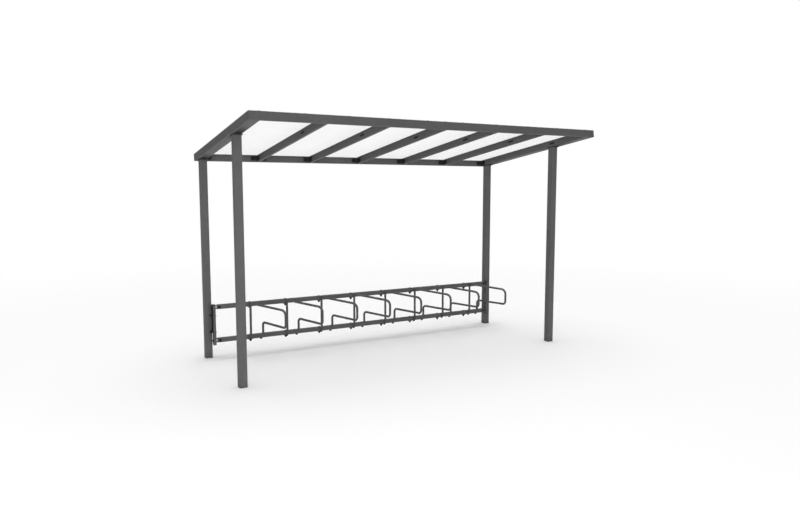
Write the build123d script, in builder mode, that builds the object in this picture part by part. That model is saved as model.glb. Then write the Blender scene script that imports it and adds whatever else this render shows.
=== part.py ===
from build123d import *
import os
from math import cos, radians, sin

os.makedirs("parts", exist_ok=True)

# Open bike shelter: four square posts carry a clear mono-pitch roof, high at the front and low at
# the rear, and a rack of bent wheel holders hangs between the rear posts.
# The origin is on the ground, under the centre of the roof. +X runs along the shelter to the right
# as seen from the front, +Y runs to the rear and +Z is up. All sizes are in millimetres.

# Posts
post_span_x = 3990  # left to right post centres
post_span_y = 1334  # front to rear post centres
front_clearance = 2460  # ground to the roof frame's underside, at the front post centres
post_section = 80
post_wall = 3
post_corner_radius = 6
post_foot_thickness = 6  # plate welded into the bottom end of each post
top_plate_margin = 10  # post's faces to the plate's edges
top_plate_thickness = 8
top_plate_corner_radius = 4

# Roof frame
roof_slope = 8  # degrees, falling to the rear
front_overhang = 621  # front post centres to the frame's front edge, along the slope
rear_overhang = 107  # rear post centres to the frame's rear edge, along the slope
frame_height = 80
edge_beam_width = 30
frame_wall = 3
frame_corner_radius = 3
rafter_width = 30
rafter_count = 5
end_bay = 675  # post centres to the nearest rafter's centre, along the shelter

# Angle cleats that join the rafters to the front and rear beams
cleat_leg_on_beam = 80
cleat_leg_on_rafter = 80
cleat_height = 50
cleat_thickness = 4

# Roof sheets
sheet_thickness = 6
sheet_edge_inset = 4  # from the frame's outer edge
sheet_joint_gap = 4

# Rack between the rear posts
rail_section = 50
rail_wall = 3
rail_corner_radius = 4
top_rail_height = 598
bottom_rail_height = 209
rail_end_gap = 22  # end bar to the rail's end
end_bar_width = 30
end_bar_depth = 60
end_bar_wall = 3
end_bar_corner_radius = 3
end_bar_below_rail = 24  # bottom rail's underside to the end bars' lower ends
bracket_thickness = 6  # plate between the end bar and the post's front face
bracket_bottom = 295
bracket_over_post = 35  # post's inner face to the bracket's outer edge
spigot_length = 75
spigot_thickness = 5
spigot_clearance = 0.3  # above and below, inside the rail
spigot_side_gap = 3  # in front and behind, inside the rail

# Wheel holders, one bent tube each: up the full leg in front of both rails, forward along the upper
# bar, down the free end, back along the lower bar and down the short leg onto the bottom rail
holder_count = 8
holder_tube = 26.9
holder_wall = 2.6
first_full_leg = 473  # left post centre to the first holder's full leg
last_full_leg = 367  # last holder's full leg to the right post centre
leg_spacing = 160  # full leg to short leg, along the shelter
free_end_shift = 258  # full leg to the free end, along the shelter
holder_reach = 475  # full leg forward to the free end
full_foot_rise = 10  # bottom rail's underside up to the full legs' feet
upper_bar_rise = 15  # top rail's centre up to the upper bar's rear corner
upper_bar_drop = 40  # upper bar's rear corner down to its front corner
lower_bar_front = 373  # height at the free end
lower_bar_rear = 365  # height at the short leg
tight_bend_radius = 45
wide_bend_radius = 65
holder_seat_gap = 0.2  # rails' front faces to the full legs

# Derived places
slope = radians(roof_slope)
half_span = post_span_x / 2
half_post = post_section / 2
frame_half_length = half_span + half_post + edge_beam_width
frame_front = -front_overhang
frame_rear = post_span_y / cos(slope) + rear_overhang
frame_plan_depth = (frame_rear - frame_front) * cos(slope) + frame_height * sin(slope)
front_post_y = front_overhang * cos(slope) - frame_plan_depth / 2
rear_post_y = front_post_y + post_span_y
inner_front = frame_front + edge_beam_width
inner_rear = frame_rear - edge_beam_width

# The roof's own plane: its origin is at the front post line on the frame's underside, its x runs
# along the shelter, its y down the slope to the rear and its z up through the roof
roof_plane = Plane(
    origin=(0, front_post_y, front_clearance), x_dir=(1, 0, 0), z_dir=(0, sin(slope), cos(slope))
)

rafter_pitch = (post_span_x - 2 * end_bay) / (rafter_count - 1)
rafter_centres = [end_bay - half_span + i * rafter_pitch for i in range(rafter_count)]

bracket_front = rear_post_y - half_post - bracket_thickness
rail_y = bracket_front - end_bar_depth / 2
end_bar_outer = half_span - half_post
end_bar_inner = end_bar_outer - end_bar_width
rail_half_length = end_bar_inner - rail_end_gap
rack_top = top_rail_height + rail_section / 2
rack_bottom = bottom_rail_height - rail_section / 2
full_leg_y = rail_y - rail_section / 2 - holder_seat_gap - holder_tube / 2


def save(piece, label):
    """Label a finished piece and write it to its own file."""
    piece.part.label = label
    export_step(piece.part, f"parts/{label}.step")


def on_roof(u, v, w):
    """A point given along the shelter, down the slope and up through the roof."""
    return roof_plane.from_local_coords((u, v, w))


# Posts and the plates on top of them
post_places = {
    "front_left": (-half_span, front_post_y),
    "front_right": (half_span, front_post_y),
    "rear_left": (-half_span, rear_post_y),
    "rear_right": (half_span, rear_post_y),
}
post_inner = post_section - 2 * post_wall
post_inner_radius = post_corner_radius - post_wall
top_plate_size = post_section + 2 * top_plate_margin

for place, (x, y) in post_places.items():
    with BuildPart() as post:
        with BuildSketch(Plane((x, y, 0))):
            RectangleRounded(post_section, post_section, post_corner_radius)
        extrude(amount=front_clearance)
        with BuildSketch(Plane((x, y, post_foot_thickness))):
            RectangleRounded(post_inner, post_inner, post_inner_radius)
        extrude(amount=front_clearance, mode=Mode.SUBTRACT)
        split(bisect_by=roof_plane.offset(-top_plate_thickness), keep=Keep.BOTTOM)
    save(post, f"post_{place}")

    with BuildPart() as top_plate:
        with BuildSketch(roof_plane.offset(-top_plate_thickness)):
            with Locations((x, (y - front_post_y) / cos(slope))):
                RectangleRounded(top_plate_size, top_plate_size, top_plate_corner_radius)
        extrude(amount=top_plate_thickness)
    save(top_plate, f"top_plate_{place}")


# Edge beams, mitred at the four corners
def mitre_plane(u_side, v_side):
    """The upright cutting plane at a corner of the frame; its normal points along the beam that
    runs the shelter's length."""
    corner = on_roof(u_side * frame_half_length, frame_front if v_side < 0 else frame_rear, 0)
    return Plane(origin=corner, z_dir=roof_plane.y_dir * v_side - roof_plane.x_dir * u_side)


frame_middle = (frame_front + frame_rear) / 2

for label, v_side in (("front_edge_beam", -1), ("rear_edge_beam", 1)):
    v = frame_middle + v_side * (frame_rear - frame_front - edge_beam_width) / 2
    with BuildPart() as beam:
        with BuildSketch(
            Plane(origin=on_roof(0, v, frame_height / 2), x_dir=roof_plane.y_dir, z_dir=(1, 0, 0))
        ):
            RectangleRounded(edge_beam_width, frame_height, frame_corner_radius)
            Rectangle(
                edge_beam_width - 2 * frame_wall, frame_height - 2 * frame_wall, mode=Mode.SUBTRACT
            )
        extrude(amount=frame_half_length, both=True)
        split(bisect_by=mitre_plane(-1, v_side), keep=Keep.TOP)
        split(bisect_by=mitre_plane(1, v_side), keep=Keep.TOP)
    save(beam, label)

for label, u_side in (("left_edge_beam", -1), ("right_edge_beam", 1)):
    u = u_side * (frame_half_length - edge_beam_width / 2)
    with BuildPart() as beam:
        with BuildSketch(
            Plane(
                origin=on_roof(u, frame_middle, frame_height / 2),
                x_dir=(1, 0, 0),
                z_dir=roof_plane.y_dir,
            )
        ):
            RectangleRounded(edge_beam_width, frame_height, frame_corner_radius)
            Rectangle(
                edge_beam_width - 2 * frame_wall, frame_height - 2 * frame_wall, mode=Mode.SUBTRACT
            )
        extrude(amount=(frame_rear - frame_front) / 2, both=True)
        split(bisect_by=mitre_plane(u_side, -1), keep=Keep.BOTTOM)
        split(bisect_by=mitre_plane(u_side, 1), keep=Keep.BOTTOM)
    save(beam, label)


# Side rails over the posts and the rafters between them
def slope_tube(label, u, width):
    """A tube down the slope, from the front beam to the rear beam."""
    with BuildPart() as tube:
        with BuildSketch(
            Plane(
                origin=on_roof(u, inner_front, frame_height / 2),
                x_dir=(1, 0, 0),
                z_dir=roof_plane.y_dir,
            )
        ):
            RectangleRounded(width, frame_height, frame_corner_radius)
            Rectangle(width - 2 * frame_wall, frame_height - 2 * frame_wall, mode=Mode.SUBTRACT)
        extrude(amount=inner_rear - inner_front)
    save(tube, label)


slope_tube("left_side_rail", -half_span, post_section)
slope_tube("right_side_rail", half_span, post_section)
for number, u in enumerate(rafter_centres, start=1):
    slope_tube(f"rafter_{number}", u, rafter_width)

# Cleats, one in each corner between a rafter or side rail and the beam
cleat_corners = [(-half_span + half_post, 1), (half_span - half_post, -1)]
for u in rafter_centres:
    cleat_corners += [(u - rafter_width / 2, -1), (u + rafter_width / 2, 1)]

for label, v, v_side in (("front_cleats", inner_front, 1), ("rear_cleats", inner_rear, -1)):
    with BuildPart() as cleats:
        with BuildSketch(roof_plane.offset((frame_height - cleat_height) / 2)):
            for u, u_side in cleat_corners:
                u_align = Align.MIN if u_side > 0 else Align.MAX
                v_align = Align.MIN if v_side > 0 else Align.MAX
                with Locations((u, v)):
                    Rectangle(cleat_leg_on_beam, cleat_thickness, align=(u_align, v_align))
                    Rectangle(cleat_thickness, cleat_leg_on_rafter, align=(u_align, v_align))
        extrude(amount=cleat_height)
    save(cleats, label)

# Two clear sheets on top of the frame, meeting over the middle rafter
sheet_length = frame_half_length - sheet_edge_inset - sheet_joint_gap / 2
sheet_width = frame_rear - frame_front - 2 * sheet_edge_inset

for label, u_side in (("roof_sheet_left", -1), ("roof_sheet_right", 1)):
    with BuildPart() as sheet:
        with BuildSketch(roof_plane.offset(frame_height)):
            with Locations((u_side * (sheet_joint_gap + sheet_length) / 2, frame_middle)):
                Rectangle(sheet_length, sheet_width)
        extrude(amount=sheet_thickness)
    save(sheet, label)

# Rack rails
rail_inner = rail_section - 2 * rail_wall

for label, z in (("top_rail", top_rail_height), ("bottom_rail", bottom_rail_height)):
    with BuildPart() as rail:
        with BuildSketch(Plane(origin=(0, rail_y, z), x_dir=(0, 1, 0), z_dir=(1, 0, 0))):
            RectangleRounded(rail_section, rail_section, rail_corner_radius)
            Rectangle(rail_inner, rail_inner, mode=Mode.SUBTRACT)
        extrude(amount=rail_half_length, both=True)
    save(rail, label)

# Rack ends: a bracket plate on the front of each rear post, an upright end bar on it, and a forked
# spigot from the bar into each rail
bracket_width = end_bar_width + bracket_over_post
end_bar_bottom = rack_bottom - end_bar_below_rail
spigot_height = rail_inner - 2 * spigot_clearance
spigot_depth = rail_inner - 2 * spigot_side_gap

for side, x_side in (("left", -1), ("right", 1)):
    with BuildPart() as bracket:
        with BuildSketch(Plane((0, 0, bracket_bottom))):
            with Locations((x_side * (end_bar_inner + bracket_width / 2), bracket_front)):
                Rectangle(bracket_width, bracket_thickness, align=(Align.CENTER, Align.MIN))
        extrude(amount=rack_top - bracket_bottom)
    save(bracket, f"rack_bracket_{side}")

    with BuildPart() as end_bar:
        with BuildSketch(Plane((x_side * (end_bar_outer - end_bar_width / 2), rail_y, end_bar_bottom))):
            RectangleRounded(end_bar_width, end_bar_depth, end_bar_corner_radius)
            Rectangle(
                end_bar_width - 2 * end_bar_wall, end_bar_depth - 2 * end_bar_wall, mode=Mode.SUBTRACT
            )
        extrude(amount=rack_top - end_bar_bottom)
    save(end_bar, f"rack_end_bar_{side}")

    with BuildPart() as spigots:
        with BuildSketch(Plane(origin=(0, rail_y, 0), x_dir=(1, 0, 0), z_dir=(0, -1, 0))):
            for z in (top_rail_height, bottom_rail_height):
                with Locations((x_side * (end_bar_inner - spigot_length / 2), z)):
                    Rectangle(spigot_length, spigot_height)
                with Locations((x_side * (end_bar_inner - spigot_thickness - spigot_length / 2), z)):
                    Rectangle(
                        spigot_length, spigot_height - 2 * spigot_thickness, mode=Mode.SUBTRACT
                    )
        extrude(amount=spigot_depth / 2, both=True)
    save(spigots, f"rail_spigots_{side}")

# Wheel holders
holder_pitch = (post_span_x - first_full_leg - last_full_leg) / (holder_count - 1)
full_leg_foot = rack_bottom + full_foot_rise
short_leg_foot = bottom_rail_height + rail_section / 2
full_leg_top = top_rail_height + upper_bar_rise
upper_bar_front = full_leg_top - upper_bar_drop
free_end_y = full_leg_y - holder_reach
corner_radii = [tight_bend_radius, wide_bend_radius, tight_bend_radius, tight_bend_radius]

for number in range(1, holder_count + 1):
    full_leg_x = -half_span + first_full_leg + (number - 1) * holder_pitch
    short_leg_x = full_leg_x + leg_spacing
    free_end_x = full_leg_x + free_end_shift
    with BuildPart() as holder:
        with BuildLine() as path:
            FilletPolyline(
                (full_leg_x, full_leg_y, full_leg_foot),
                (full_leg_x, full_leg_y, full_leg_top),
                (free_end_x, free_end_y, upper_bar_front),
                (free_end_x, free_end_y, lower_bar_front),
                (short_leg_x, rail_y, lower_bar_rear),
                (short_leg_x, rail_y, short_leg_foot),
                radius=corner_radii,
            )
        with BuildSketch(Plane((full_leg_x, full_leg_y, full_leg_foot))):
            Circle(holder_tube / 2)
            Circle(holder_tube / 2 - holder_wall, mode=Mode.SUBTRACT)
        sweep(path=path.line)
    save(holder, f"wheel_holder_{number}")
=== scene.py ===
import math

import bmesh
import bpy
from mathutils import Matrix, Vector


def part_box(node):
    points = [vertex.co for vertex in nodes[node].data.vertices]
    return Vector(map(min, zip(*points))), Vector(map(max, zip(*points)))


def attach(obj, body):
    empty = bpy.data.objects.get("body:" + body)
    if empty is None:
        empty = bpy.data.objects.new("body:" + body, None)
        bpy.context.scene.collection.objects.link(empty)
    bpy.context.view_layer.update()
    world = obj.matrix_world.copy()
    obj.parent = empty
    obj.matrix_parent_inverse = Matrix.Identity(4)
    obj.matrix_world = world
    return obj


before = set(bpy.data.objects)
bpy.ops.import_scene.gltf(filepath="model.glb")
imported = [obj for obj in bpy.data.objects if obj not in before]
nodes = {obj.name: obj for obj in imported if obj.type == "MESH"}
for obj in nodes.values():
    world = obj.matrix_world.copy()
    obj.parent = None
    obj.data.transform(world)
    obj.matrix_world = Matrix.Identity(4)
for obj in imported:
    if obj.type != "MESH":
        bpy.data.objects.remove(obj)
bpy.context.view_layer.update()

scene = bpy.context.scene
X, Y, Z = Vector((1, 0, 0)), Vector((0, 1, 0)), Vector((0, 0, 1))
CORNERS = ("front_left", "front_right", "rear_left", "rear_right")
RACK_ENDS = ((-1, "left"), (1, "right"))

# Sizes that repeat part.py's, in metres as everywhere below
BEAM_WIDTH, FRAME_HEIGHT, SHEET = 0.030, 0.080, 0.006
CLEAT_STEEL = 0.004
POST_CORNER, TOP_PLATE = 0.006, 0.008
TUBE, LEG_SPACING, SEAT_GAP = 0.0269, 0.160, 0.0002


# Places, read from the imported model
def middle(node):
    low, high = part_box(node)
    return (low + high) / 2


def size(node):
    low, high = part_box(node)
    return high - low


front_beam, rear_beam = middle("front_edge_beam"), middle("rear_edge_beam")
down_slope = (rear_beam - front_beam).normalized()
roof_up = X.cross(down_slope)
frame_length = size("front_edge_beam").x
frame_depth = (rear_beam - front_beam).length + BEAM_WIDTH
frame_origin = front_beam - down_slope * BEAM_WIDTH / 2 - roof_up * FRAME_HEIGHT / 2
frame_middle = FRAME_HEIGHT / 2
sheet_top = FRAME_HEIGHT + SHEET
rafter_width = size("rafter_1").x
rafter_u = [middle(f"rafter_{n}").x for n in range(1, 6)]
side_rail_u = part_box("right_side_rail")[0].x

top_rail, bottom_rail = middle("top_rail"), middle("bottom_rail")
rail_low, rail_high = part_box("top_rail")
rail_y, rail_front, rail_rear = top_rail.y, rail_low.y, rail_high.y
bottom_low, bottom_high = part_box("bottom_rail")


def on_roof(u, v, w):
    """A point u along the shelter from its middle, v down the slope from the roof frame's front edge and w
    above the frame's underside."""
    return frame_origin + X * (u - frame_origin.x) + down_slope * v + roof_up * w


# Materials
class Tree:
    """Adds shader nodes in short lines. An input is given as a value or as the socket to link."""

    def __init__(self, tree):
        tree.nodes.clear()
        self.tree = tree

    def add(self, kind, inputs=None, **settings):
        node = self.tree.nodes.new(kind)
        for key, value in settings.items():
            setattr(node, key, value)
        for key, value in (inputs or {}).items():
            if isinstance(value, bpy.types.NodeSocket):
                self.tree.links.new(value, node.inputs[key])
            else:
                node.inputs[key].default_value = value
        return node

    def place(self):
        return self.add("ShaderNodeTexCoord").outputs["Object"]

    def noise(self, place, scale, detail, roughness=0.5):
        inputs = {"Vector": place, "Scale": scale, "Detail": detail, "Roughness": roughness}
        return self.add("ShaderNodeTexNoise", inputs).outputs["Fac"]

    def math(self, operation, a, b):
        return self.add("ShaderNodeMath", {0: a, 1: b}, operation=operation).outputs[0]

    def measure(self, operation, *vectors):
        """A number worked out from one or two vectors."""
        node = self.add("ShaderNodeVectorMath", dict(enumerate(vectors)), operation=operation)
        return node.outputs["Value"]

    def upward(self, vector):
        return self.add("ShaderNodeSeparateXYZ", {0: vector}).outputs["Z"]

    def scale(self, socket, given, wanted=(0.0, 1.0)):
        """Maps one range to another, without going past its ends."""
        keys = ("Value", "From Min", "From Max", "To Min", "To Max")
        inputs = dict(zip(keys, (socket, *given, *wanted)))
        return self.add("ShaderNodeMapRange", inputs).outputs["Result"]

    def ramp(self, factor, *stops):
        """A tone for each factor, from stops of (factor, grey or colour)."""
        node = self.add("ShaderNodeValToRGB", {"Fac": factor})
        elements = node.color_ramp.elements
        while len(elements) < len(stops):
            elements.new(0.5)
        for element, (position, tint) in zip(elements, stops):
            element.position = position
            element.color = (tint, tint, tint, 1) if isinstance(tint, (int, float)) else (*tint, 1)
        return node.outputs["Color"]

    def mix(self, factor, a, b, blend="MIX"):
        inputs = {0: factor, 6: a, 7: b}
        return self.add("ShaderNodeMix", inputs, data_type="RGBA", blend_type=blend).outputs[2]

    def multiply(self, a, b, factor=1.0):
        return self.mix(factor, a, b, "MULTIPLY")

    def bump(self, strength, distance, height, under=None):
        inputs = {"Strength": strength, "Distance": distance, "Height": height}
        if under is not None:
            inputs["Normal"] = under
        return self.add("ShaderNodeBump", inputs).outputs["Normal"]

    def output(self, surface, kind="ShaderNodeOutputMaterial"):
        self.add(kind, {"Surface": surface})

    def finish(self, base, rough, normal, extra):
        inputs = {"Base Color": base, "Roughness": rough, "Normal": normal, **extra}
        self.output(self.add("ShaderNodeBsdfPrincipled", inputs).outputs[0])


def material(name):
    m = bpy.data.materials.new(name)
    m.use_nodes = True
    return m, Tree(m.node_tree)


def tone(value):
    """An sRGB grey level of 0 to 255 as a linear value."""
    value /= 255
    return value / 12.92 if value <= 0.04045 else ((value + 0.055) / 1.055) ** 2.4


# Depths, lengths and strengths of the powder coat's details
PEEL_DEPTH = 0.00012
SAND_DEPTH = PEEL_DEPTH * 0.35
EDGE_RADIUS, MOST_WEAR = 0.0016, 0.35
DUST, DUST_HEIGHT, MOST_DUST = (0.36, 0.34, 0.31, 1), 0.22, 0.16
SHADE_REACH = 0.20
# Painted shade on the side rails' undersides round the post tops, darkest at the joint
PAINTED_SHADE_STOPS = ((0.06, 0.15), (0.15, 0.40), (0.25, 0.82), (0.32, 1.0))  # stops of (distance from the joint, tone)


def rubbed_edges(t, base, grey, rounded, flat, patchy):
    """Lightens the coat in patches where the rounded normal turns away from the flat one."""
    edge = t.scale(t.measure("DOT_PRODUCT", rounded, flat), (0.995, 0.88))
    rubbed = t.math("MULTIPLY", t.math("MULTIPLY", edge, patchy), MOST_WEAR)
    return t.mix(rubbed, base, (grey * 1.7, grey * 1.7, grey * 1.68, 1))


def ground_dust(t, place, patchy):
    """How much dust lies at a place: patches near the ground, more of it further down."""
    low = t.math("POWER", t.scale(t.upward(place), (DUST_HEIGHT, 0.0)), 2.0)
    return t.math("MULTIPLY", t.math("MULTIPLY", low, patchy), MOST_DUST)


def painted_shade_below(t, base, place, flat, joints):
    """Paints shade on the undersides round each joint."""
    underside = t.scale(t.upward(flat), (-0.6, -0.9))
    for joint in joints:
        painted_shade = t.ramp(t.measure("DISTANCE", place, joint), *PAINTED_SHADE_STOPS)
        base = t.multiply(base, painted_shade, underside)
    return base


def powder_coat(name, grey, roughness=0.62, shade_from=(0.0, 0.18), shade_to=0.72, joints=()):
    """Baked powder coating: fine orange peel, a sandy grain, faint drifts of tone, rubbed edges and dust near
    the ground. Nooks get painted shade from the ambient occlusion: shade_from is (openness, tone) of the
    darkest ones, and from the openness shade_to on there is no painted shade. Painted shade also lies on the
    undersides round the joints given."""
    m, t = material(name)
    place = t.place()
    drift = t.noise(place, scale=2.3, detail=4.0, roughness=0.55)
    cloud = t.noise(place, scale=19.0, detail=3.0, roughness=0.6)
    peel = t.noise(place, scale=420.0, detail=2.0)
    sand = t.noise(place, scale=1500.0, detail=1.0)
    base = t.ramp(drift, (0.30, grey * 0.94), (0.70, grey * 1.07))
    base = t.multiply(base, t.ramp(cloud, (0.25, 0.965), (0.75, 1.035)))
    base = t.multiply(base, t.ramp(sand, (0.35, 0.93), (0.65, 1.06)))

    rounded = t.add("ShaderNodeBevel", {"Radius": EDGE_RADIUS}, samples=4).outputs["Normal"]
    flat = t.add("ShaderNodeNewGeometry").outputs["True Normal"]
    patchy = t.scale(cloud, (0.42, 0.62))
    dust = ground_dust(t, place, patchy)
    base = rubbed_edges(t, base, grey, rounded, flat, patchy)
    base = t.mix(dust, base, DUST)

    # Painted shade: the colour darkens in nooks, where ambient occlusion finds little open air
    open_air = t.add("ShaderNodeAmbientOcclusion", {"Distance": SHADE_REACH}, samples=8).outputs["AO"]
    base = t.multiply(base, t.ramp(open_air, shade_from, (shade_to, 1.0)))
    if joints:
        base = painted_shade_below(t, base, place, flat, joints)

    rough = t.math("ADD", t.scale(drift, (0.3, 0.7), (roughness - 0.04, roughness + 0.05)), dust)
    coarse = t.bump(0.35, PEEL_DEPTH, peel, under=rounded)
    fine = t.bump(0.30, SAND_DEPTH, sand, under=coarse)
    t.finish(base, rough, fine, {"IOR": 1.5, "Specular IOR Level": 0.3})
    return m


def blackened(name, grey, roughness):
    """Blackened steel fixings: a blotchy tone over fine scratches."""
    m, t = material(name)
    place = t.place()
    stain = t.noise(place, scale=160.0, detail=4.0, roughness=0.65)
    scratch = t.noise(place, scale=900.0, detail=2.0)
    base = t.ramp(stain, (0.3, grey * 0.75), (0.7, grey * 1.25))
    rough = t.scale(stain, (0.3, 0.7), (roughness - 0.07, roughness + 0.08))
    t.finish(base, rough, t.bump(0.25, 0.00005, scratch), {"Specular IOR Level": 0.2})
    return m


def moulded(name, grey, roughness):
    """Moulded plastic or rubber with a fine spark-eroded grain."""
    m, t = material(name)
    place = t.place()
    cloud = t.noise(place, scale=60.0, detail=3.0)
    grain = t.add("ShaderNodeTexVoronoi", {"Vector": place, "Scale": 1100.0}).outputs["Distance"]
    base = t.ramp(cloud, (0.3, grey * 0.85), (0.7, grey * 1.2))
    rough = t.scale(cloud, (0.3, 0.7), (roughness - 0.05, roughness + 0.06))
    t.finish(base, rough, t.bump(0.3, 0.00008, grain), {"Specular IOR Level": 0.25})
    return m


def glazing(name):
    """Clear roofing sheet with a faint haze, fine dust and a slow wave in its surface."""
    m, t = material(name)
    place = t.place()
    haze = t.noise(place, scale=1.6, detail=4.0, roughness=0.55)
    speck = t.noise(place, scale=240.0, detail=2.0, roughness=0.6)
    wave = t.noise(place, scale=9.0, detail=1.0)
    base = t.ramp(haze, (0.3, (0.84, 0.86, 0.86)), (0.7, (0.90, 0.91, 0.91)))
    film = t.scale(haze, (0.3, 0.7), (0.09, 0.12))
    dust = t.scale(speck, (0.66, 0.80), (0.0, 0.10))
    alpha = t.math("ADD", film, dust)
    rough = t.scale(haze, (0.3, 0.7), (0.16, 0.24))
    t.finish(base, rough, t.bump(0.2, 0.0006, wave), {"Alpha": alpha, "IOR": 1.49})
    return m


# Greys are matched to the photo. The painted shade under the side rails lies a little in front of each post.
FRAME_GREY = tone(96)
SHADE_BEFORE_POST = 0.07
post_tops = [middle(f"top_plate_{corner}") - Y * SHADE_BEFORE_POST for corner in CORNERS]
coat = powder_coat("powder_coat_frame", FRAME_GREY)
# Lighter and darker copies of the one coat, as painted light and shade: the posts and the rear beam lighter,
# the other edge beams darker
coat_post = powder_coat("powder_coat_post_painted_light", tone(101))
coat_beam = powder_coat("powder_coat_beam_painted_shade", tone(92))
coat_rear_beam = powder_coat("powder_coat_rear_beam_painted_light", tone(97))
# A dark coat: on the top plates it is painted shade where the posts meet the frame; the cleats share it
coat_dark = powder_coat("powder_coat_dark", tone(52), roughness=0.55)
# The holders' tubes: a darker copy of the coat, as painted shade
coat_tube = powder_coat("powder_coat_tube_painted_shade", tone(89), roughness=0.58)
coat_side_rail = powder_coat("powder_coat_side_rail_painted_shade", FRAME_GREY, joints=post_tops)
# The end bars get a deeper painted shade in their nooks
coat_end_bar = powder_coat("powder_coat_end_bar_deep_painted_shade", FRAME_GREY, shade_from=(0.42, 0.06), shade_to=0.80)
clear = glazing("clear_sheet")
black_steel = blackened("black_fixing", grey=0.012, roughness=0.60)
plastic = moulded("black_plastic", grey=0.010, roughness=0.6)

# A node gets the first finish whose word is in its name, or the plain coat where there is none
FINISHES = (
    ("roof_sheet", clear),
    ("wheel_holder", coat_tube),
    ("rack_end_bar", coat_end_bar),
    ("side_rail", coat_side_rail),
    ("post_", coat_post),
    ("rear_edge_beam", coat_rear_beam),
    ("edge_beam", coat_beam),
    ("top_plate", coat_dark),
    ("_cleats", coat_dark),
)
for name, node in nodes.items():
    finishes = [finish for word, finish in FINISHES if word in name]
    node.data.materials.clear()
    node.data.materials.append(finishes[0] if finishes else coat)


# Shapes for the small parts
def loft(bm, loops, closed=False):
    """Joins each loop of vertices to the next, and caps both ends or joins the last loop to the first."""
    following = loops[1:] + loops[:1] if closed else loops[1:]
    for a, b in zip(loops, following):
        for i in range(len(a)):
            j = (i + 1) % len(a)
            bm.faces.new((a[i], a[j], b[j], b[i]))
    if not closed:
        bm.faces.new(loops[0][::-1])
        bm.faces.new(loops[-1])


def rounded_corners(half_x, half_y, radius, steps):
    """The points round a rectangle's four rounded corners, as (x, y)."""
    for sx, sy, start in ((1, 1, 0), (-1, 1, 90), (-1, -1, 180), (1, -1, 270)):
        for k in range(steps + 1):
            a = math.radians(start + 90 * k / steps)
            x = sx * (half_x - radius) + radius * math.cos(a)
            y = sy * (half_y - radius) + radius * math.sin(a)
            yield x, y


def rounded_plate(bm, place, half_x, half_y, corner, profile):
    """A plate with rounded corners, built up from rings of (inset, height)."""
    loops = []
    for inset, height in profile:
        radius = max(corner - inset, 0.0006)
        outline = rounded_corners(half_x - inset, half_y - inset, radius, 4)
        loops.append([bm.verts.new(place @ Vector((x, y, height))) for x, y in outline])
    loft(bm, loops)


# Fixings are stacks of rings of (kind, radius, height) round an axis that points out of the face they sit on.
# A hexagon's radius is half its width across flats; a chamfered one's corners drop below its height.
ROUND, HEX, CHAMFERED = "round", "hexagon", "chamfered hexagon"
CHAMFER_SLOPE = 0.577
SIDES = 30


def ring_point(kind, radius, z, i):
    angle = 2 * math.pi * i / SIDES
    reach = radius
    if kind != ROUND:
        from_flat = (angle + math.pi / 6) % (math.pi / 3) - math.pi / 6
        reach = radius / math.cos(from_flat)
    if kind == CHAMFERED:
        z -= (reach - radius) * CHAMFER_SLOPE
    return Vector((reach * math.cos(angle), reach * math.sin(angle), z))


def stack(bm, place, rings, base=0.0, closed=False):
    """Joins rings into one surface, whose heights count from base."""
    loops = []
    for kind, radius, z in rings:
        points = [ring_point(kind, radius, z, i) + Z * base for i in range(SIDES)]
        loops.append([bm.verts.new(place @ p) for p in points])
    loft(bm, loops, closed)


def dome(radius, height, angles, start=0.0):
    return [(ROUND, radius * math.cos(a), start + height * math.sin(a)) for a in angles]


def add_washer(bm, place, radius, thick, bore, base=0.0):
    """Adds a washer and says how high its top lies."""
    edge = thick * 0.25
    outside = [(ROUND, radius, 0), (ROUND, radius, thick - edge), (ROUND, radius - edge, thick)]
    stack(bm, place, [(ROUND, bore, 0), *outside, (ROUND, bore, thick)], base, closed=True)
    return base + thick


def add_hex_head(bm, place, flats, height, base):
    r = flats / 2
    sides = [(HEX, r * 0.97, 0), (HEX, r, height * 0.08), (CHAMFERED, r, height)]
    stack(bm, place, [*sides, (ROUND, r * 0.96, height), (ROUND, r * 0.5, height * 0.985)], base)
    return base + height


def add_stud_end(bm, place, radius, height, base):
    rings = [(ROUND, radius, 0), (ROUND, radius, height * 0.7), (ROUND, radius * 0.82, height)]
    stack(bm, place, rings, base)


def add_button_head(bm, place, radius, height, socket, base):
    """A domed head with a hexagon socket."""
    top = height * 0.96
    shell = [(ROUND, radius * 0.96, 0), *dome(radius, height, (0, 0.35, 0.7, 1.0))]
    drive = [(ROUND, socket * 1.25, top), (HEX, socket, top), (HEX, socket * 0.97, height * 0.4)]
    stack(bm, place, shell + drive, base)


def add_cap_nut(bm, place, flats, height, base):
    r, crown = flats / 2, height * 0.42
    cap = dome(r * 0.93, height - crown, (0, 0.35, 0.75, 1.15, 1.42), crown)
    stack(bm, place, [(HEX, r * 0.97, 0), (HEX, r, crown * 0.15), (CHAMFERED, r, crown), *cap], base)


def add_plug(bm, place, radius, height):
    rim = [(ROUND, radius * 0.98, 0), (ROUND, radius, height * 0.1)]
    stack(bm, place, rim + dome(radius, height, (0.3, 0.6, 0.95, 1.3)))


def add_oblong(bm, place, half_straight, radius, height):
    """A low plug or plate with round ends; its length lies along the place's x axis."""
    count = SIDES + 2
    rim = ((0.0004, 0.0), (0.0, 0.3), (0.0006, 0.75), (0.0022, 1.0), (radius * 0.7, 1.04))
    loops = []
    for inset, rise in rim:
        loop = []
        for i in range(count):
            angle = math.pi * ((2 * i + 1) / count - 0.5)
            x = math.copysign(half_straight, math.cos(angle)) + (radius - inset) * math.cos(angle)
            y = (radius - inset) * math.sin(angle)
            loop.append(bm.verts.new(place @ Vector((x, y, height * rise))))
        loops.append(loop)
    loft(bm, loops)


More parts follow.
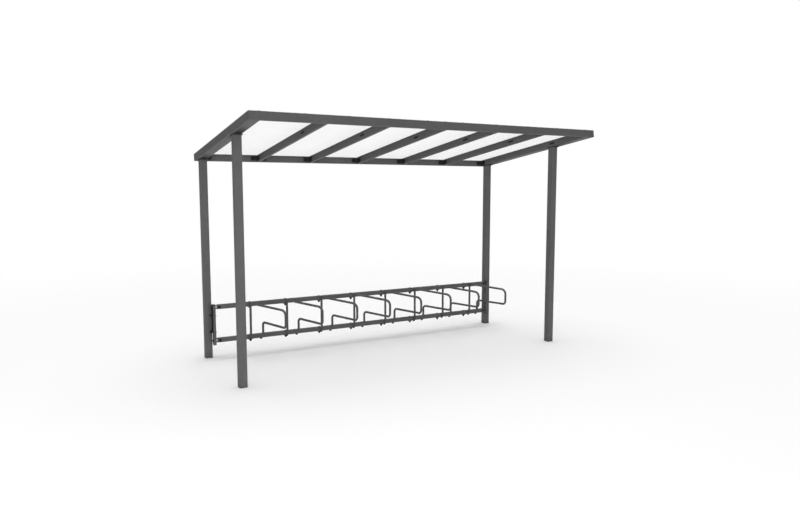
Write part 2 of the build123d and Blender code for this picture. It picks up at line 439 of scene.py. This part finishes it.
def add_bolt(bm, place, washer, head=None, button=None, stud=None, base=0.0):
    """A washer with a button head or a hexagon on it, and the end of a stud where one shows."""
    top = add_washer(bm, place, *washer, base)
    if button:
        add_button_head(bm, place, *button, top)
    if head:
        top = add_hex_head(bm, place, *head, top)
    if stud:
        add_stud_end(bm, place, *stud, top)


WELD_SIDES = 8
WELD_PITCH, PUDDLE_STEPS = 0.0032, 4
WELD_VALLEY, WELD_TAPER = 0.86, 0.7  # shares of a bead's radius between its puddles and at its open ends


def sweep(bm, points, radii, closed=False):
    """A tube along points, each with its own radius."""
    last = len(points) - 1
    loops = []
    for i, (p, radius) in enumerate(zip(points, radii)):
        before = points[i - 1] if i or closed else p
        after = points[0 if i == last else i + 1] if i < last or closed else p
        along = (after - before).normalized()
        side = along.cross(Z if abs(along.z) < 0.9 else X).normalized()
        up = side.cross(along)
        angles = [2 * math.pi * k / WELD_SIDES for k in range(WELD_SIDES)]
        loops.append([bm.verts.new(p + (side * math.cos(a) + up * math.sin(a)) * radius) for a in angles])
    loft(bm, loops, closed)


def weld(bm, corners, radius=0.003, closed=False):
    """A weld bead along straight runs between corners, with the ripple of its overlapping puddles."""
    points, radii = [], []
    following = corners[1:] + corners[:1] if closed else corners[1:]
    for a, b in zip(corners, following):
        steps = max(2, round((b - a).length / WELD_PITCH) * PUDDLE_STEPS)
        for k in range(steps):
            swell = (k % PUDDLE_STEPS) / (PUDDLE_STEPS - 1)
            points.append(a.lerp(b, k / steps))
            radii.append(radius * (WELD_VALLEY + (1 - WELD_VALLEY) * swell))
    if not closed:
        points.append(corners[-1])
        radii.append(radius * WELD_VALLEY)
        radii[0] *= WELD_TAPER
        radii[-1] *= WELD_TAPER
    sweep(bm, points, radii, closed)


def facing(point, direction, spin=0.0):
    """A place whose z axis points along direction."""
    turn = direction.normalized().to_track_quat("Z", "Y").to_matrix().to_4x4()
    return Matrix.Translation(point) @ turn @ Matrix.Rotation(spin, 4, "Z")


def along_face(point, length, out):
    """A place whose x axis lies along length and whose z axis points out of the face."""
    turn = Matrix((length, out.cross(length), out)).transposed().to_4x4()
    return Matrix.Translation(point) @ turn


SHARP_EDGE = 0.6  # radians; flatter edges are shaded smooth


def add_piece(name, bm, finish):
    bmesh.ops.recalc_face_normals(bm, faces=bm.faces)
    for face in bm.faces:
        face.smooth = True
    for edge in bm.edges:
        if len(edge.link_faces) == 2 and edge.calc_face_angle(0) > SHARP_EDGE:
            edge.smooth = False
    mesh = bpy.data.meshes.new(name)
    bm.to_mesh(mesh)
    bm.free()
    mesh.materials.append(finish)
    piece = bpy.data.objects.new(name, mesh)
    scene.collection.objects.link(piece)
    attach(piece, "root")


# Sizes of the fixings: a washer's radius, thickness and bore, a hexagon's width across flats and height, a
# button head's radius, height and socket, and a stud end's radius and height
SCREW_SEAL, SCREW_HEAD = (0.0068, 0.0004, 0.0025), (0.0062, 0.0013, 0.0018)
CLEAT_BEAM_BOLT = {"washer": (0.0165, 0.0025, 0.004), "head": (0.0190, 0.0080)}
CLEAT_RAFTER_BOLT = {"washer": (0.0150, 0.0025, 0.004), "head": (0.0170, 0.0070)}
CLEAT_STUD = (0.005, 0.0035)
RAIL_BOLT = {"washer": (0.0150, 0.0025, 0.005), "button": (0.0105, 0.0060, 0.0035)}
CAP_NUT = (0.0260, 0.0250)
HOLDER_NUT = {"washer": (0.0190, 0.0035, 0.005), "head": (0.0270, 0.0110), "stud": (0.0060, 0.0030)}
SPIGOT_FRONT = {"washer": (0.0155, 0.0020, 0.005), "button": (0.0130, 0.0070, 0.0040)}
SPIGOT_REAR = {"washer": (0.0110, 0.0016, 0.004), "head": (0.0170, 0.0080), "stud": (0.0050, 0.0035)}
BRACKET_BOLT = {"washer": (0.0120, 0.0016, 0.004), "head": (0.0170, 0.0070)}
BAR_INNER_BOLT = {"washer": (0.0090, 0.0012, 0.003), "head": (0.0130, 0.0050)}
BAR_OUTER_BOLT = {"washer": (0.0130, 0.0020, 0.005), "head": (0.0190, 0.0080), "stud": (0.0055, 0.0040)}

# Roof: sheet screws along the frame's edges, each with a rubber seal under its head
SCREW_COLUMNS, SCREW_BAYS = 10, 5
SCREW_ROW = 0.94916  # between the outer screws of a row, as a share of the frame's length
SCREW_FROM_FRONT = 0.0185
screw_pitch = frame_length * SCREW_ROW / (SCREW_COLUMNS - 1)
side_screw_u = frame_length / 2 - BEAM_WIDTH / 2
screws = [
    (screw_pitch * (i - (SCREW_COLUMNS - 1) / 2), v)
    for i in range(SCREW_COLUMNS)
    for v in (SCREW_FROM_FRONT, frame_depth - BEAM_WIDTH / 2)
]
screws += [
    (side * side_screw_u, frame_depth * k / SCREW_BAYS)
    for side in (-1, 1)
    for k in range(1, SCREW_BAYS)
]
heads, seals = bmesh.new(), bmesh.new()
for n, (u, v) in enumerate(screws):
    place = facing(on_roof(u, v, sheet_top), roof_up, spin=n * 0.7)
    add_button_head(heads, place, *SCREW_HEAD, add_washer(seals, place, *SCREW_SEAL))
add_piece("sheet_screws", heads, black_steel)
add_piece("sheet_screw_seals", seals, plastic)

# Roof: a seal fills the joint between the sheets and laps over their edges. Half its section, from below:
SEAL_SECTION = [(0.0018, -0.0055), (0.0018, 0), (0.009, 0.0002), (0.0085, 0.0010), (0.003, 0.0017)]
SEAL_FROM_FRONT, SEAL_FROM_REAR = 0.018, 0.006
seal = bmesh.new()
joint_u = (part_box("roof_sheet_left")[1].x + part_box("roof_sheet_right")[0].x) / 2
section = SEAL_SECTION + [(-du, dw) for du, dw in reversed(SEAL_SECTION)]
loft(
    seal,
    [
        [seal.verts.new(on_roof(joint_u + du, v, sheet_top + dw)) for du, dw in section]
        for v in (SEAL_FROM_FRONT, frame_depth - SEAL_FROM_REAR)
    ],
)
add_piece("sheet_joint_seal", seal, plastic)

# Roof: a bolt through each cleat's leg on the beam and one through its leg on the rafter or side rail
CLEAT_HOLE = 0.054  # from the cleat's corner, along either leg
cleats = [(-side_rail_u, 1, False), (side_rail_u, -1, False)]
for u in rafter_u:
    cleats += [(u - rafter_width / 2, -1, True), (u + rafter_width / 2, 1, True)]
for label, beam_face, inward in (("front", BEAM_WIDTH, 1), ("rear", frame_depth - BEAM_WIDTH, -1)):
    bolts = bmesh.new()
    for n, (u, side, through) in enumerate(cleats):
        place = on_roof(u + side * CLEAT_HOLE, beam_face + inward * CLEAT_STEEL, frame_middle)
        add_bolt(bolts, facing(place, down_slope * inward, spin=n * 0.5), **CLEAT_BEAM_BOLT)
        place = on_roof(u + side * CLEAT_STEEL, beam_face + inward * CLEAT_HOLE, frame_middle)
        stud = CLEAT_STUD if through and side > 0 else None
        add_bolt(bolts, facing(place, X * side, spin=n * 0.9), **CLEAT_RAFTER_BOLT, stud=stud)
    add_piece(f"cleat_bolts_{label}", bolts, black_steel)

# Roof: plugged slots in the sides of the rafters and side rails, a little in front of the front posts
SLOT_BEFORE_POST = 0.032
SLOT_PLUG = (0.036, 0.0095, 0.0030)  # half the straight stretch, radius of the ends, height
slot_v = (middle("top_plate_front_left") - frame_origin).dot(down_slope) - SLOT_BEFORE_POST
plugs = bmesh.new()
plugged = [(u + side * rafter_width / 2, side) for u in rafter_u for side in (-1, 1)]
plugged += [(-side_rail_u, 1), (side_rail_u, -1)]
for u, side in plugged:
    add_oblong(plugs, along_face(on_roof(u, slot_v, frame_middle), down_slope, X * side), *SLOT_PLUG)
add_piece("rafter_hole_plugs", plugs, plastic)

# Rack: through bolts in both rails, with cap nuts on oblong plates below
RAIL_BOLTS, FIRST_RAIL_BOLT, RAIL_BOLT_PITCH = 8, -1.520, 0.4385
PLATE_FORWARD = 0.005
NUT_PLATE = (0.0150, 0.0180, 0.0060)  # half the straight stretch, radius of the ends, height
CAP_NUT_BASE = 0.0062  # just inside the plate's domed face
for label in ("top_rail", "bottom_rail"):
    low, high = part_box(label)
    bolts = bmesh.new()
    for i in range(RAIL_BOLTS):
        x = FIRST_RAIL_BOLT + RAIL_BOLT_PITCH * i
        add_bolt(bolts, facing(Vector((x, rail_y, high.z)), Z, spin=i), **RAIL_BOLT)
        place = along_face(Vector((x, rail_y - PLATE_FORWARD, low.z)), X, -Z)
        add_oblong(bolts, place, *NUT_PLATE)
        add_cap_nut(bolts, place @ Matrix.Rotation(i * 0.6, 4, "Z"), *CAP_NUT, CAP_NUT_BASE)
    add_piece(f"{label}_bolts", bolts, black_steel)

# Rack: the full legs are welded to both rails' front faces and plugged at their feet, the short legs are
# welded round their feet, and each holder has two nuts under the bottom rail
WELD_OFF_FACE = 0.0012
WELD_ABOVE_FOOT, WELD_BELOW_TOP = 0.002, 0.004
# The short welds at the top rail: shares of the groove's offset, and heights above the rail's underside
TOP_WELD = ((0.8, 0.001), (0.5, 0.010))
RING_STEPS = 16
NUT_OFFSETS, NUT_FORWARD = (0.003, 0.130), 0.007
LEG_PLUG_HEIGHT = 0.0035
leg_y = rail_front - SEAT_GAP - TUBE / 2
weld_y = rail_front - WELD_OFF_FACE
groove = TUBE * 0.31  # from the leg's centre to the grooves between its sides and the rail
foot_ring = TUBE / 2 + 0.001
around = [2 * math.pi * k / RING_STEPS for k in range(RING_STEPS)]
welds, nuts, leg_plugs = bmesh.new(), bmesh.new(), bmesh.new()
for n in range(1, 9):
    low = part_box(f"wheel_holder_{n}")[0]
    x, foot = low.x + TUBE / 2, low.z
    for side in (-1, 1):
        heights = (foot + WELD_ABOVE_FOOT, bottom_high.z - WELD_BELOW_TOP)
        weld(welds, [Vector((x + side * groove, weld_y, z)) for z in heights])
        points = [Vector((x + side * groove * share, weld_y, rail_low.z + rise)) for share, rise in TOP_WELD]
        weld(welds, points, radius=0.0026)
    short_leg = Vector((x + LEG_SPACING, rail_y, bottom_high.z + WELD_OFF_FACE))
    weld(welds, [short_leg + (X * math.cos(a) + Y * math.sin(a)) * foot_ring for a in around], closed=True)
    for beside in NUT_OFFSETS:
        place = facing(Vector((x + beside, rail_y - NUT_FORWARD, bottom_low.z)), -Z, spin=n + beside)
        add_bolt(nuts, place, **HOLDER_NUT)
    add_plug(leg_plugs, facing(Vector((x, leg_y, foot)), -Z), TUBE / 2, LEG_PLUG_HEIGHT)
add_piece("holder_welds", welds, coat)
add_piece("holder_nuts", nuts, black_steel)
add_piece("holder_leg_plugs", leg_plugs, plastic)

# Rack ends: bolts through the rails into their spigots, through the brackets and through the end bars. The
# outer bolts sit on the black strips of painted shade, but for the lowest, which sits on the bar.
SPIGOT_BOLT_X = 1.880
BRACKET_BOLT_INSET = 0.0165  # from the bracket's outer edge
BAR_BOLT_DEPTH = 0.013  # from the bar's front face
BOLT_HEIGHTS = (0.309, 0.498)
TOP_BOLT_DROP = 0.008  # from the top rail's centre
SHADE_STRIP = 0.0035
END_WELD, WELD_INSET = 0.0022, 0.004
outer_bolts = ((top_rail.z - TOP_BOLT_DROP, SHADE_STRIP), (BOLT_HEIGHTS[0], SHADE_STRIP), (bottom_rail.z, 0.0))
end_bolts, bar_welds = bmesh.new(), bmesh.new()
for side, label in RACK_ENDS:
    bar_low, bar_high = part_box(f"rack_end_bar_{label}")
    plate_low, plate_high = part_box(f"rack_bracket_{label}")
    bar_outer, bar_inner = (bar_low.x, bar_high.x) if side < 0 else (bar_high.x, bar_low.x)
    plate_outer = plate_low.x if side < 0 else plate_high.x
    out = X * side
    for z in (top_rail.z, bottom_rail.z):
        x = side * SPIGOT_BOLT_X
        add_bolt(end_bolts, facing(Vector((x, rail_front, z)), -Y, spin=0.2), **SPIGOT_FRONT)
        add_bolt(end_bolts, facing(Vector((x, rail_rear, z)), Y, spin=0.4), **SPIGOT_REAR)
    for z in BOLT_HEIGHTS:
        x, y = plate_outer - side * BRACKET_BOLT_INSET, bar_low.y + BAR_BOLT_DEPTH
        add_bolt(end_bolts, facing(Vector((x, plate_low.y, z)), -Y, spin=z * 9), **BRACKET_BOLT)
        add_bolt(end_bolts, facing(Vector((bar_inner, y, z)), -out, spin=z * 7), **BAR_INNER_BOLT)
    for z, base in outer_bolts:
        place = facing(Vector((bar_outer, rail_y, z)), out, spin=0.4)
        add_bolt(end_bolts, place, **BAR_OUTER_BOLT, base=base)
    heights = (plate_low.z + WELD_INSET, plate_high.z - WELD_INSET)
    widths = (bar_low.x + WELD_INSET, bar_high.x - WELD_INSET)
    weld(bar_welds, [Vector((bar_outer, plate_low.y, z)) for z in heights], END_WELD)
    weld(bar_welds, [Vector((x, bar_high.y, plate_low.z)) for x in widths], END_WELD)
add_piece("rack_end_bolts", end_bolts, black_steel)
add_piece("rack_end_welds", bar_welds, coat)

# Rack ends: push-in caps in the end bars, and black strips of painted shade on the bars' outer sides, beside
# the brackets. Their rims are rings of (inset, height).
CAP_RIM = ((0.0004, 0.0), (0.0, 0.0006), (0.0, 0.0018), (0.0014, 0.0030), (0.0060, 0.0033))
SHADE_STRIP_RIM = ((0.0006, 0.0), (0.0, 0.0010), (0.0, 0.0025), (0.0010, SHADE_STRIP), (0.0040, SHADE_STRIP + 0.0002))
CAP_CORNER, SHADE_STRIP_CORNER = 0.003, 0.004
SHADE_STRIP_INSET, SHADE_STRIP_HALF_WIDTH, SHADE_STRIP_BACK = 0.003, 0.027, 0.002
caps, shade_strips = bmesh.new(), bmesh.new()
for side, label in RACK_ENDS:
    low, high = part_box(f"rack_end_bar_{label}")
    centre, half = (low + high) / 2, (high - low) / 2
    for z, out in ((high.z, Z), (low.z, -Z)):
        place = along_face(Vector((centre.x, centre.y, z)), X, out)
        rounded_plate(caps, place, half.x, half.y, CAP_CORNER, CAP_RIM)
    strip = Vector((centre.x + side * half.x, centre.y + SHADE_STRIP_BACK, middle(f"rack_bracket_{label}").z))
    half_height = size(f"rack_bracket_{label}").z / 2 - SHADE_STRIP_INSET
    place = along_face(strip, Z, X * side)
    rounded_plate(shade_strips, place, half_height, SHADE_STRIP_HALF_WIDTH, SHADE_STRIP_CORNER, SHADE_STRIP_RIM)
add_piece("end_bar_caps", caps, plastic)
add_piece("rack_painted_shade_strips", shade_strips, plastic)

# Posts: welds under the sloping plates on their tops
POST_WELD = 0.0032
post_welds = bmesh.new()
for name in CORNERS:
    post, half = middle(f"post_{name}"), size(f"post_{name}") / 2
    plate = middle(f"top_plate_{name}") - roof_up * TOP_PLATE / 2
    outline = []
    for dx, dy in rounded_corners(half.x, half.y, POST_CORNER, 3):
        x, y = post.x + dx, post.y + dy
        drop = ((x - plate.x) * roof_up.x + (y - plate.y) * roof_up.y) / roof_up.z
        outline.append(Vector((x, y, plate.z - drop)))
    weld(post_welds, outline, POST_WELD, closed=True)
add_piece("post_top_welds", post_welds, coat)

# Floor and sky. The camera sees the floor turn into plain white between two distances from its middle.
SKY, FLOOR_SEEN, FLOOR_RADIUS = 0.20, 0.98, 60
TURNS_WHITE = (5.0, 11.0)
WHITE = (1, 1, 1, 1)


def floor_material():
    m, t = material("studio_floor")
    place = t.place()
    soft = t.noise(place, scale=0.6, detail=3.0)
    bounce = t.ramp(soft, (0.3, 0.80), (0.7, 0.82))
    lit = t.add("ShaderNodeBsdfDiffuse", {"Color": bounce}).outputs[0]
    seen = t.add("ShaderNodeBsdfDiffuse", {"Color": (FLOOR_SEEN, FLOOR_SEEN, FLOOR_SEEN, 1)}).outputs[0]
    backdrop = t.add("ShaderNodeEmission", {"Color": WHITE, "Strength": 1.0}).outputs[0]
    far = t.scale(t.measure("LENGTH", place), TURNS_WHITE)
    seen = t.add("ShaderNodeMixShader", {0: far, 1: seen, 2: backdrop}).outputs[0]
    camera_ray = t.add("ShaderNodeLightPath").outputs["Is Camera Ray"]
    t.output(t.add("ShaderNodeMixShader", {0: camera_ray, 1: lit, 2: seen}).outputs[0])
    return m


rim = bmesh.new()
bmesh.ops.create_circle(rim, cap_ends=True, segments=64, radius=FLOOR_RADIUS)
ground = bpy.data.meshes.new("floor")
rim.to_mesh(ground)
floor = bpy.data.objects.new("floor", ground)
scene.collection.objects.link(floor)
ground.materials.append(floor_material())

world = bpy.data.worlds.new("studio")
scene.world = world
world.use_nodes = True
t = Tree(world.node_tree)
path = t.add("ShaderNodeLightPath").outputs
shown = t.math("MAXIMUM", path["Is Camera Ray"], path["Is Transmission Ray"])
strength = t.scale(shown, (0.0, 1.0), (SKY, 1.0))
sky = t.add("ShaderNodeBackground", {"Color": WHITE, "Strength": strength}).outputs[0]
t.output(sky, "ShaderNodeOutputWorld")


def lamp(name, kind, energy, place, target, **settings):
    data = bpy.data.lights.new(name, kind)
    data.energy = energy
    for key, value in settings.items():
        setattr(data, key, value)
    light = bpy.data.objects.new(name, data)
    light.location = place
    light.rotation_euler = (Vector(target) - Vector(place)).to_track_quat("-Z", "Y").to_euler()
    scene.collection.objects.link(light)


def sun(name, energy, place, target, spread):
    lamp(name, "SUN", energy, place, target, angle=math.radians(spread))


sun("overhead_core", energy=0.33, place=(0.25, 0.8, 10), target=(0, 0, 0), spread=32)
sun("overhead_wide", energy=2.0, place=(0.3, 0.5, 10), target=(0, 0, 0), spread=70)
sun("front_soft", energy=0.50, place=(-2, -10, 3), target=(0, 0, 1), spread=60)
panel = {"shape": "DISK", "size": 2.2}
lamp("front_left_panel", "AREA", energy=95, place=(-4.6, -6.4, 1.0), target=(-1.2, 0, 1.0), **panel)

# Camera, fitted to the photo
SENSOR, LENS = 36, 30.06
EYE, EYE_TILT, EYE_HEADING = (-3.856, -6.768, 1.961), 84.01, -29.92
camera_data = bpy.data.cameras.new("camera")
camera_data.sensor_width = SENSOR
camera_data.lens = LENS
camera_data.clip_start, camera_data.clip_end = 0.1, 200
camera = bpy.data.objects.new("camera", camera_data)
camera.location = EYE
camera.rotation_euler = (math.radians(EYE_TILT), 0, math.radians(EYE_HEADING))
scene.collection.objects.link(camera)
scene.camera = camera
scene.view_settings.view_transform = "Standard"
